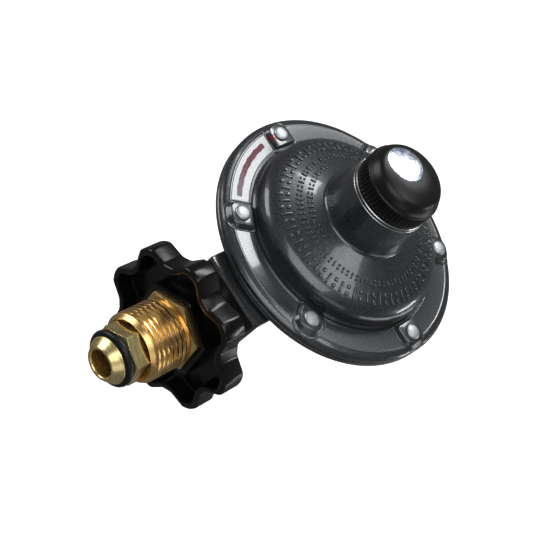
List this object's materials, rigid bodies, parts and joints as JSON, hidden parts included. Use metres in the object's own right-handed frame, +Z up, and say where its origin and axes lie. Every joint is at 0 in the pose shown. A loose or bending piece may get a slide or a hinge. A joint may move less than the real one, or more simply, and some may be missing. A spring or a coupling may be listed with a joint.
{
  "type": "low-pressure gas regulator",
  "caption": "Round riveted diaphragm gas regulator with a spring tower and closing cap, a threaded inlet union turned by a lobed handwheel, and a threaded outlet.",
  "frame": {"origin": "centre of the flat foot under the lower casing, on the bonnet's axis", "axes": "+Z up the bonnet and the spring tower; -X along the inlet union, which ends in its sealing nose; +X along the outlet; Y completes the right-handed frame"},
  "size_m": [0.1467, 0.0916, 0.0813],
  "materials": {
    "cast_lacquer": "dark grey metallic lacquer, satin",
    "rivet_metal": "bright, clinched",
    "brass": "turned, bright",
    "black_wheel": "moulded, glossy",
    "black_cap": "moulded, semi-gloss",
    "black_rubber": "smooth",
    "diaphragm_rubber": "fabric reinforced",
    "foil": "bright foil",
    "steel": "zinc plated",
    "spring_steel": "drawn wire",
    "light_alloy": "die-cast or turned"
  },
  "bodies": {
    "casing": {"lower_casing": "cast_lacquer", "bonnet": "cast_lacquer", "casing_rivets": "rivet_metal", "diaphragm": "diaphragm_rubber", "setting_spring": "spring_steel", "lever_pin": "steel", "pin_screws": "steel", "orifice_nozzle": "brass", "vent_screen": "steel", "vent_snap_ring": "spring_steel", "inlet_nipple": "brass", "nose_seal_ring": "black_rubber", "inlet_screen": "brass"},
    "union": {"union_nut": "brass", "handwheel": "black_wheel"},
    "cap": {"closing_cap": "black_cap", "cap_label": "foil"},
    "adjuster": {"adjusting_screw": "light_alloy"},
    "diaphragm_stack": {"diaphragm_plate": "steel", "diaphragm_washer": "steel", "centre_post": "light_alloy", "relief_washer": "steel", "relief_retainer": "steel", "relief_spring": "spring_steel"},
    "valve_lever": {"lever": "steel"},
    "valve": {"valve_stem": "light_alloy", "seat_disc": "black_rubber"}
  },
  "joints": [
    {"name": "handwheel_spin", "type": "hinge", "parent": "casing", "child": "union", "pos_m": [-0.07, 0, 0.015], "axis": [1, 0, 0], "continuous": true},
    {"name": "cap_removal", "type": "slide", "parent": "casing", "child": "cap", "axis": [0, 0, 1], "range_m": [0, 0.02]},
    {"name": "adjuster_travel", "type": "slide", "parent": "casing", "child": "adjuster", "axis": [0, 0, 1], "range_m": [-0.004, 0.0015], "deforming": ["setting_spring"]},
    {"name": "diaphragm_travel", "type": "slide", "parent": "casing", "child": "diaphragm_stack", "axis": [0, 0, 1], "range_m": [0, 0.003], "stiffness_N_per_m": 800, "springref_m": -0.008, "deforming": ["diaphragm"]},
    {"name": "lever_swing", "type": "hinge", "parent": "casing", "child": "valve_lever", "pos_m": [0.014, 0, 0.0192], "axis": [0, 1, 0], "range_deg": [0, 12.5]},
    {"name": "valve_travel", "type": "slide", "parent": "casing", "child": "valve", "axis": [1, 0, 0], "range_m": [-0.00092, 0]}
  ],
  "couplings": [
    {"joint": "lever_swing", "follows": "diaphragm_travel", "rad_per_m": 71.429},
    {"joint": "valve_travel", "follows": "diaphragm_travel", "ratio": -0.3}
  ]
}
